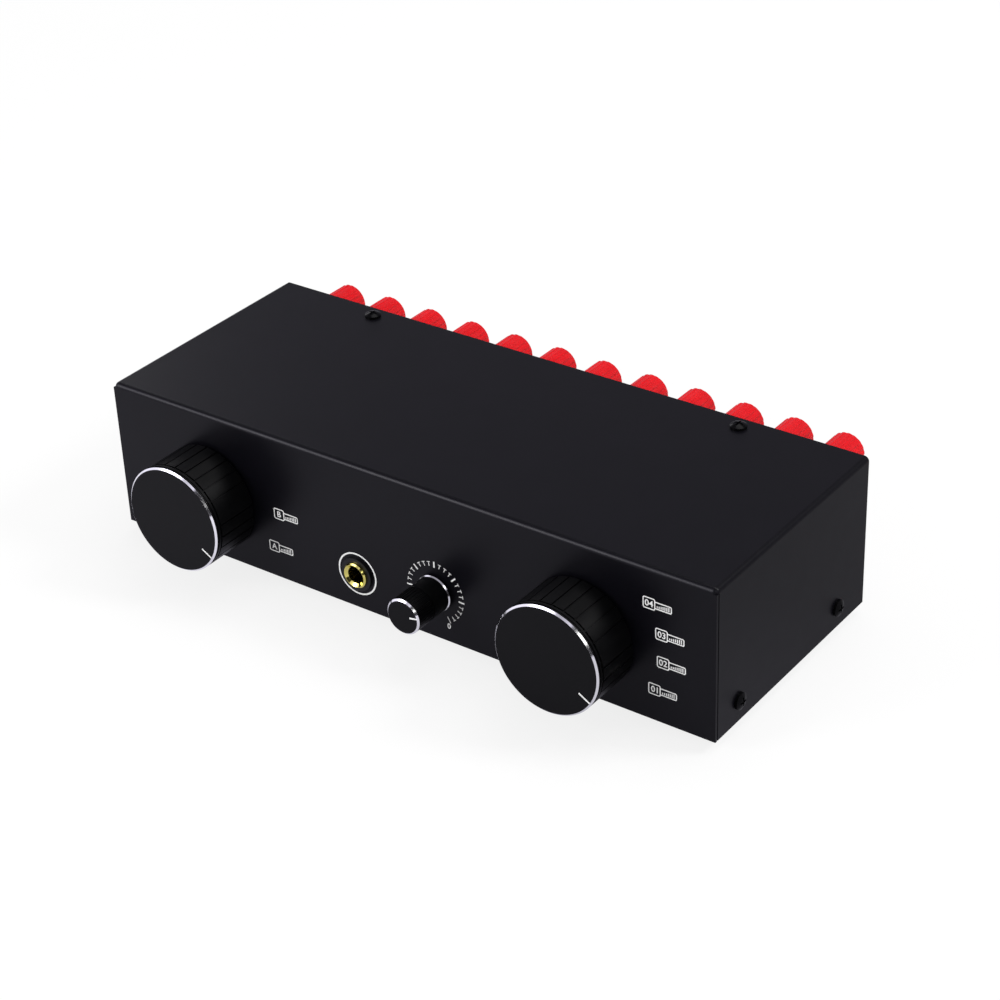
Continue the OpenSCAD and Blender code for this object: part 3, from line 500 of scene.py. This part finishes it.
def rounded_outline(shape: bmesh.types.BMesh, low: Pair, high: Pair, radius: float, line: float,
                    depth: float) -> None:
    """Adds a raised outline of a rectangle with round corners.

    Args:
        shape: The bmesh that takes it.
        low: Lower left corner.
        high: Upper right corner.
        radius: Radius of the corners.
        line: Width of the line, which lies inside the rectangle.
        depth: Height of the line.
    """
    outline = bmesh.new()
    middle = ((low[0] + high[0]) / 2.0, (low[1] + high[1]) / 2.0, 0.0)
    size = (high[0] - low[0], high[1] - low[1], 1.0)
    bmesh.ops.create_grid(outline, x_segments=1, y_segments=1, size=0.5,
                          matrix=Matrix.Translation(middle) @ Matrix.Diagonal((*size, 1.0)))
    bmesh.ops.bevel(outline, geom=list(outline.verts), offset=radius,
                    segments=CORNER_SEGMENTS, profile=0.5, affect="VERTICES", material=-1)
    inner = list(outline.faces)
    bmesh.ops.inset_individual(outline, faces=inner, thickness=line)
    bmesh.ops.delete(outline, geom=inner, context="FACES_ONLY")
    bmesh.ops.solidify(outline, geom=list(outline.faces), thickness=-depth)
    join(shape, outline)


def join(shape: bmesh.types.BMesh, other: bmesh.types.BMesh, place: Matrix = Matrix()) -> None:
    """Adds another bmesh to a shape.

    Args:
        shape: The bmesh that takes it.
        other: The bmesh that is added; it is freed.
        place: Where it goes.
    """
    bmesh.ops.transform(other, matrix=place, verts=other.verts)
    mesh = bpy.data.meshes.new("part")
    other.to_mesh(mesh)
    other.free()
    shape.from_mesh(mesh)
    bpy.data.meshes.remove(mesh)


def numeral(text: str, height: float, depth: float) -> bmesh.types.BMesh:
    """Raised characters centred on the local origin.

    Args:
        text: The characters.
        height: Height of a capital.
        depth: How far they stand up from local Z = 0.

    Returns:
        The bmesh.
    """
    curve = bpy.data.curves.new("numeral", "FONT")
    curve.body = text
    curve.size = height / CAPITAL_HEIGHT
    curve.align_x = "CENTER"
    curve.offset = STROKE_SHARE * height
    curve.extrude = depth / 2.0
    curve.resolution_u = GLYPH_STEPS
    holder = bpy.data.objects.new("numeral", curve)
    bpy.context.scene.collection.objects.link(holder)
    graph = bpy.context.evaluated_depsgraph_get()
    graph.update()
    mesh = bpy.data.meshes.new_from_object(holder.evaluated_get(graph))
    shape = bmesh.new()
    shape.from_mesh(mesh)
    bpy.data.meshes.remove(mesh)
    bpy.data.objects.remove(holder)
    bpy.data.curves.remove(curve)
    bmesh.ops.remove_doubles(shape, verts=shape.verts, dist=WELD)
    low, high = extent(shape)
    bmesh.ops.translate(shape, verts=shape.verts,
                        vec=(-(low.x + high.x) / 2.0, -(low.y + high.y) / 2.0, -low.z))
    return shape


def extent(shape: bmesh.types.BMesh) -> Tuple[Vector, Vector]:
    """Lowest and highest corner of a bmesh."""
    columns = list(zip(*(vert.co for vert in shape.verts)))
    return Vector([min(c) for c in columns]), Vector([max(c) for c in columns])


def axis_of(node: str) -> Vector:
    """Middle of a node's box, which lies on the axis of a round one."""
    low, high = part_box(node)
    return (Vector(low) + Vector(high)) / 2.0


# ---- Sub-assemblies -----------------------------------------------------------------


@dataclass
class Dresser:
    """Gives every CAD node the finish of its record slot."""

    turned: Tuple[str, ...] = ("knob", "shaft", "ferrule")

    def dress(self) -> None:
        """Replaces each node's materials with one procedural finish."""
        for entry in frame["record"]["subparts"]:
            node, slot = entry["node"], entry["material_slot"]
            finish = FINISHES[slot]
            centre = tuple(axis_of(node)) if any(word in node for word in self.turned) else None
            materials = frame["nodes"][node].data.materials
            material = finish.material(centre)
            if not materials:
                materials.append(material)
            for index in range(len(materials)):
                materials[index] = material
            log.info("dressed %s in %s", node, finish.name)


@dataclass
class LabelFrame:
    """A printed label: a square cell with its characters and a lower cell with rising bars."""

    text: str
    left: float
    top: float
    cell_width: float = 4.65 * MM
    cell_height: float = 4.35 * MM
    tail_width: float = 6.45 * MM
    tail_height: float = 2.75 * MM
    tail_drop: float = 0.85 * MM
    radius: float = 0.75 * MM
    tail_radius: float = 0.6 * MM
    line: float = 0.38 * MM
    tail_depth: float = 0.9 * INK_DEPTH
    character: float = 2.3 * MM
    bars: int = 7
    bar_width: float = 0.34 * MM
    bar_margin: float = 0.608 * MM
    bar_shortest: float = 0.35

    def draw(self, shape: bmesh.types.BMesh) -> None:
        """Adds the label to the panel's print.

        Args:
            shape: The bmesh of the print, in the panel's plane.
        """
        bottom = self.top - self.cell_height
        right = self.left + self.cell_width
        rounded_outline(shape, (self.left, bottom), (right, self.top), self.radius, self.line,
                        INK_DEPTH)
        tail_top = self.top - self.tail_drop
        tail_low = tail_top - self.tail_height
        start = right - self.line
        rounded_outline(shape, (start, tail_low), (start + self.tail_width, tail_top),
                        self.tail_radius, self.line, self.tail_depth)
        middle = Matrix.Translation(((self.left + right) / 2.0, (self.top + bottom) / 2.0, 0.0))
        join(shape, numeral(self.text, self.character, INK_DEPTH), middle)
        pitch = (self.tail_width - 2.0 * self.line) / (self.bars + 1)
        floor = tail_low + self.bar_margin
        tallest = self.tail_height - 2.0 * self.bar_margin
        for number in range(1, self.bars + 1):
            x = start + self.line + pitch * number
            share = self.bar_shortest + (1.0 - self.bar_shortest) * number / self.bars
            block(shape, (x - self.bar_width / 2.0, floor, 0.0),
                  (x + self.bar_width / 2.0, floor + tallest * share, INK_DEPTH))


@dataclass
class VolumeScale:
    """Printed scale round the volume knob."""

    top_deg: float = 90.0
    side_count: int = 13
    step_deg: float = 11.6
    majors: Tuple[int, ...] = (0, 4, 8)
    inner: float = 9.95 * MM
    outer: float = 11.5 * MM
    major_inner: float = 9.6 * MM
    major_outer: float = 11.95 * MM
    end_inner: float = 9.4 * MM
    width: float = 0.26 * MM
    major_width: float = 0.55 * MM
    cap_length: float = 1.25 * MM
    numeral_radius: float = 12.8 * MM
    numeral_deg: float = 157.0
    numeral_height: float = 2.1 * MM

    def draw(self, shape: bmesh.types.BMesh) -> None:
        """Adds ticks and end numerals, centred on the local origin.

        Args:
            shape: The bmesh of the print, in the panel's plane.
        """
        for index in range(-self.side_count, self.side_count + 1):
            turn = math.radians(self.top_deg - index * self.step_deg)
            end = abs(index) == self.side_count
            if end or abs(index) in self.majors:
                half = (self.width if end else self.major_width) / 2.0
                inner = self.end_inner if end else self.major_inner
                block(shape, (inner, -half, 0.0), (self.major_outer, half, INK_DEPTH), turn)
                continue
            half = self.width / 2.0
            block(shape, (self.inner, -half, 0.0), (self.outer, half, INK_DEPTH), turn)
            block(shape, (self.outer - half, -self.cap_length / 2.0, 0.0),
                  (self.outer + half, self.cap_length / 2.0, INK_DEPTH), turn)
        for text, side in (("0", 1.0), ("10", -1.0)):
            turn = math.radians(self.top_deg - side * self.numeral_deg)
            place = Matrix.Translation((self.numeral_radius * math.cos(turn),
                                        self.numeral_radius * math.sin(turn), 0.0))
            join(shape, numeral(text, self.numeral_height, INK_DEPTH), place)


@dataclass
class PanelPrint:
    """The white print on the front panel: the labels, the volume scale and the ring round the
    socket.
    """

    labels: List[LabelFrame] = field(default_factory=lambda: [
        LabelFrame("04", 98.2 * MM, 46.07 * MM), LabelFrame("03", 102.8 * MM, 35.75 * MM),
        LabelFrame("02", 103.35 * MM, 25.33 * MM), LabelFrame("01", 100.1 * MM, 14.1 * MM),
        LabelFrame("B", -53.58 * MM, 28.55 * MM), LabelFrame("A", -57.1 * MM, 14.5 * MM)])
    scale: VolumeScale = field(default_factory=VolumeScale)
    ring_inner: float = 7.6 * MM
    ring_outer: float = 8.2 * MM

    def build(self) -> None:
        """Makes the labels, the volume scale and the ring round the socket."""
        low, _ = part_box("cover")
        front, base = low[1], low[2]
        for label in self.labels:
            shape = bmesh.new()
            label.draw(shape)
            Piece(f"label_{label.text}", ENCLOSURE, "white_print", WHITE_INK).write(
                shape, facing_front(0.0, front, base))
        volume = axis_of("volume_nut")
        shape = bmesh.new()
        self.scale.draw(shape)
        Piece("volume_scale", ENCLOSURE, "white_print", WHITE_INK).write(
            shape, facing_front(volume.x, front, volume.z))
        socket = axis_of("jack_ferrule")
        shape = bmesh.new()
        spun(shape, ((self.ring_inner, 0.0), (self.ring_outer, 0.0),
                     (self.ring_outer, INK_DEPTH), (self.ring_inner, INK_DEPTH)))
        Piece("socket_ring", ENCLOSURE, "white_print", WHITE_INK).write(
            shape, facing_front(socket.x, front, socket.z))


@dataclass
class KnobTrim:
    """Bright rim and pointer paint of one knob, and the bright ring round a small knob's foot.

    The rim stands proud of the knob by its skin and reaches into it by its lap. The paint lies on
    the bed of the pointer's groove and stays clear of its walls and of the knob's face.
    """

    node: str
    body: str
    pointer_deg: float
    pointer_length: float
    bevel: float
    foot_ring: float = 0.0
    pointer_width: float = 0.7 * MM
    pointer_depth: float = 0.3 * MM
    pointer_bevel: float = 0.05 * MM
    pointer_bed: float = 0.001 * MM
    skin: float = 0.014 * MM
    lap: float = 0.06 * MM
    clear: float = 0.02 * MM
    ring_length: float = 0.6 * MM
    ring_seat: float = 0.15 * MM

    def build(self) -> None:
        """Makes the rim, the paint in the pointer's groove and the ring."""
        low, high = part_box(self.node)
        axis = axis_of(self.node)
        radius = (high[0] - low[0]) / 2.0
        place = facing_front(axis.x, low[1], axis.z)
        self.add_rim(radius, place, tuple(axis))
        self.add_pointer(radius, place)
        if self.foot_ring > 0.0:
            self.add_ring(radius, low[1] - high[1], place, tuple(axis))

    def add_rim(self, radius: float, place: Matrix, centre: Point) -> None:
        """Makes the rim, a thin cone over the bevel.

        Args:
            radius: Radius of the knob.
            place: Placement of the knob's face.
            centre: A point on the knob's axis.
        """
        edge, skin, back = radius - self.bevel, self.skin, -self.bevel - self.clear
        shape = bmesh.new()
        spun(shape, ((edge - self.lap, -self.clear), (edge + self.clear, 0.0),
                     (radius + skin, skin - self.bevel), (radius + skin, back),
                     (radius - self.lap, back)), RIM_STEPS)
        Piece(f"{self.node}_rim", self.body, "cut_metal", CUT_METAL).write(shape, place, centre)

    def add_pointer(self, radius: float, place: Matrix) -> None:
        """Makes the paint in the pointer's groove.

        Args:
            radius: Radius of the knob.
            place: Placement of the knob's face.
        """
        edge = radius - self.bevel
        half = self.pointer_width / 2.0 - self.clear
        shape = bmesh.new()
        low = (edge - self.pointer_length + self.clear, -half,
               self.pointer_bed - self.pointer_depth)
        high = (edge - self.clear, half, -self.clear)
        block(shape, low, high, math.radians(self.pointer_deg), self.pointer_bevel)
        Piece(f"{self.node}_pointer", self.body, "white_print", WHITE_INK).write(shape, place)

    def add_ring(self, radius: float, depth: float, place: Matrix, centre: Point) -> None:
        """Makes the ring round the knob's foot, which slopes towards the face.

        Args:
            radius: Radius of the knob.
            depth: Place of the knob's back behind its face, a negative length.
            place: Placement of the knob's face.
            centre: A point on the knob's axis.
        """
        outer = radius + self.foot_ring
        shape = bmesh.new()
        spun(shape, ((radius - self.ring_seat, depth), (outer - self.ring_seat, depth),
                     (outer, depth + self.ring_seat), (radius, depth + self.ring_length),
                     (radius - self.ring_seat, depth + self.ring_length)))
        Piece(f"{self.node}_foot_ring", self.body, "cut_metal", CUT_METAL).write(
            shape, place, centre)


@dataclass
class SocketFerrule:
    """Gold ferrule of the headphone socket, with a thin lip round a wide funnel."""

    bore: float = 3.2 * MM
    lip: float = 0.16 * MM
    edge: float = 0.45 * MM
    funnel: float = 0.82 * MM

    def build(self) -> None:
        """Makes the ferrule in the place of its CAD node."""
        low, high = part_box("jack_ferrule")
        axis = axis_of("jack_ferrule")
        outer, back = (high[0] - low[0]) / 2.0, low[1] - high[1]
        shape = bmesh.new()
        crest = outer - self.edge
        spun(shape, ((self.bore, back), (self.bore, -self.funnel), (crest - self.lip, 0.0),
                     (crest, 0.0), (outer, -self.edge), (outer, back)))
        ferrule = Piece("socket_ferrule", ENCLOSURE, "jack_gold", FINISHES["jack_gold"]).write(
            shape, facing_front(axis.x, low[1], axis.z), tuple(axis))
        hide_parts("jack_ferrule")


@dataclass(frozen=True)
class Lamp:
    """A soft box: its place, its width and height in metres, and its power in watts."""

    name: str
    place: Point
    size: Pair
    power: float


def cosines(degrees: Pair) -> Pair:
    """Cosines of the outer and the inner angle of a cone with a soft edge."""
    return math.cos(math.radians(degrees[0])), math.cos(math.radians(degrees[1]))


@dataclass
class Studio:
    """Pale floor, soft light and the camera of the photograph.

    Each glow is a pair of brightnesses in mirrors. Its reach, or its cone in degrees, is where the
    brightness goes from the first to the second.
    """

    camera_place: Point = (0.44725, -0.58019, 0.46877)
    azimuth_deg: float = 37.03
    elevation_deg: float = 30.99
    roll_deg: float = -2.394
    lens_mm: float = 88.47
    sensor_mm: float = 36.0
    clip: Pair = (0.01, 50.0)
    floor_size: float = 8.0
    floor_level: float = -0.05 * MM
    floor_colour: Colour = (0.9, 0.9, 0.9)
    floor_roughness: float = 0.9
    seen_share: float = 0.82
    mirrored_share: float = 0.8
    slope: Point = (0.6, 0.8, 0.0)
    slope_reach: Pair = (-0.15, 0.13)
    slope_glow: Pair = (0.86, 0.22)
    sky: float = 0.4
    mirrored_tint: Colour = (0.98, 0.95, 1.12)
    behind: Point = (0.0, 1.0, 0.0)
    wall_reach: Pair = (0.0, 0.6)
    wall_glow: Pair = (1.0, 0.34)
    up: Point = (0.0, 0.0, 1.0)
    ceiling_reach: Pair = (0.6, 0.75)
    ceiling_glow: Pair = (1.0, 0.3)
    shade_aim: Point = (0.53, -0.81, 0.27)
    shade_deg: Pair = (28.0, 24.0)
    shade_glow: Pair = (1.0, 0.03)
    window_aim: Point = (-0.52, -0.73, 0.44)
    window_deg: Pair = (26.0, 14.0)
    window_glow: Pair = (0.0, 3.5)
    lamp_aim: Point = (0.0, 0.0, 0.03)
    lamps: Tuple[Lamp, ...] = (
        Lamp("overhead", (0.1, 0.5, 1.8), (1.4, 1.0), 13.0),
        Lamp("key", (-1.09, -1.55, 0.9), (0.8, 0.8), 16.0),
        Lamp("fill", (1.2, -1.2, 0.9), (0.8, 0.8), 4.0),
        Lamp("right", (1.16, 0.65, 1.31), (0.45, 0.45), 15.0),
        Lamp("left", (-1.4, 0.79, 0.82), (0.45, 0.45), 1.5),
    )

    def build(self) -> None:
        """Makes the camera, the lamps, the world and the floor."""
        self.place_camera()
        self.hang_lamps()
        self.light_world()
        self.lay_floor()
        bpy.context.scene.view_settings.view_transform = "Standard"

    def place_camera(self) -> None:
        """Puts the camera where the photograph was taken from."""
        azimuth, elevation, roll = (math.radians(value) for value in
                                    (self.azimuth_deg, self.elevation_deg, self.roll_deg))
        back = Vector((math.sin(azimuth) * math.cos(elevation),
                       -math.cos(azimuth) * math.cos(elevation), math.sin(elevation)))
        right = Vector(self.up).cross(back).normalized()
        up = back.cross(right)
        cos, sin = math.cos(roll), math.sin(roll)
        turned_right, turned_up = cos * right + sin * up, -sin * right + cos * up
        data = bpy.data.cameras.new("camera")
        data.lens = self.lens_mm
        data.sensor_width = self.sensor_mm
        data.clip_start, data.clip_end = self.clip
        camera = bpy.data.objects.new("camera", data)
        camera.matrix_world = (Matrix.Translation(self.camera_place)
                               @ Matrix((turned_right, turned_up, back)).transposed().to_4x4())
        bpy.context.scene.collection.objects.link(camera)
        bpy.context.scene.camera = camera

    def hang_lamps(self) -> None:
        """Hangs the soft boxes, each aimed at the middle of the object."""
        for lamp in self.lamps:
            data = bpy.data.lights.new(lamp.name, "AREA")
            data.shape = "RECTANGLE"
            data.size, data.size_y = lamp.size
            data.energy = lamp.power
            holder = bpy.data.objects.new(lamp.name, data)
            holder.location = lamp.place
            aim = Vector(self.lamp_aim) - Vector(lamp.place)
            holder.rotation_euler = aim.to_track_quat("-Z", "Y").to_euler()
            bpy.context.scene.collection.objects.link(holder)

    def light_world(self) -> None:
        """Even sky for the light, and white where it is seen.

        Mirrors show a room instead: a bright window on the left, walls that darken behind the
        object and overhead, and the dark round the camera.
        """
        world = bpy.data.worlds.new("studio")
        world.use_nodes = True
        bpy.context.scene.world = world
        graph = Graph(world.node_tree)
        sky = world.node_tree.nodes["Background"]
        graph.put(sky.inputs["Color"], WHITE)
        graph.put(sky.inputs["Strength"], self.sky)
        heading = graph.add("ShaderNodeTexCoord").outputs["Generated"]
        light, depth, height, window = (
            graph.span(graph.along(heading, direction), reach, glow)
            for direction, reach, glow in (
                (self.shade_aim, cosines(self.shade_deg), self.shade_glow),
                (self.behind, self.wall_reach, self.wall_glow),
                (self.up, self.ceiling_reach, self.ceiling_glow),
                (self.window_aim, cosines(self.window_deg), self.window_glow)))
        walls = graph.maths("MULTIPLY", graph.maths("MULTIPLY", light, depth), height)
        room = graph.add("ShaderNodeBackground", {"Color": self.mirrored_tint,
                                                  "Strength": graph.maths("ADD", walls, window)})
        backdrop = graph.add("ShaderNodeBackground", {"Color": WHITE})
        mirrored = graph.add("ShaderNodeMixShader", {0: graph.mirrored(), 1: sky.outputs[0],
                                                     2: room.outputs[0]})
        seen = graph.add("ShaderNodeMixShader", {0: graph.seen(), 1: mirrored.outputs[0],
                                                 2: backdrop.outputs[0]})
        graph.put(world.node_tree.nodes["World Output"].inputs["Surface"], seen.outputs[0])

    def lay_floor(self) -> None:
        """Lays the floor, which is seen and mirrored nearer to white than it is lit."""
        shape = bmesh.new()
        bmesh.ops.create_grid(shape, x_segments=1, y_segments=1, size=self.floor_size / 2.0,
                              matrix=Matrix.Translation((0.0, 0.0, self.floor_level)))
        mesh = bpy.data.meshes.new("floor")
        shape.to_mesh(mesh)
        shape.free()
        nodes = Nodes("floor")
        nodes.feed("Base Color", self.floor_colour)
        nodes.feed("Roughness", self.floor_roughness)
        nodes.feed("Specular IOR Level", 0.0)
        # In mirrors the floor glows brighter to the front left and darker to the back right:
        # painted light that shapes the reflections in the box's panels
        place = nodes.along(nodes.place, self.slope)
        slope = nodes.span(place, self.slope_reach, self.slope_glow)
        strength = nodes.maths("MAXIMUM", nodes.seen(), slope)
        colour = nodes.mix(nodes.mirrored(), WHITE, self.mirrored_tint)
        glow = nodes.add("ShaderNodeEmission", {"Color": colour, "Strength": strength})
        share = nodes.maths("MAXIMUM", nodes.maths("MULTIPLY", nodes.seen(), self.seen_share),
                            nodes.maths("MULTIPLY", nodes.mirrored(), self.mirrored_share))
        mix = nodes.add("ShaderNodeMixShader", {0: share, 1: nodes.shader.outputs[0],
                                                2: glow.outputs[0]})
        nodes.put(nodes.tree.nodes["Material Output"].inputs["Surface"], mix.outputs[0])
        mesh.materials.append(nodes.material)
        floor = bpy.data.objects.new("floor", mesh)
        bpy.context.scene.collection.objects.link(floor)


def main() -> None:
    logging.basicConfig(level=logging.INFO, format="%(message)s")
    Studio().build()
    Dresser().dress()
    PanelPrint().build()
    SocketFerrule().build()
    for node, body in (("amp_knob", "amp_control"), ("speaker_knob", "speaker_control")):
        KnobTrim(node, body, pointer_deg=-31.0, pointer_length=4.8 * MM, bevel=0.6 * MM).build()
    KnobTrim("volume_knob", "volume_control", pointer_deg=12.0, pointer_length=3.1 * MM,
             bevel=0.6 * MM, foot_ring=0.3 * MM).build()


if __name__ == "__main__":
    main()
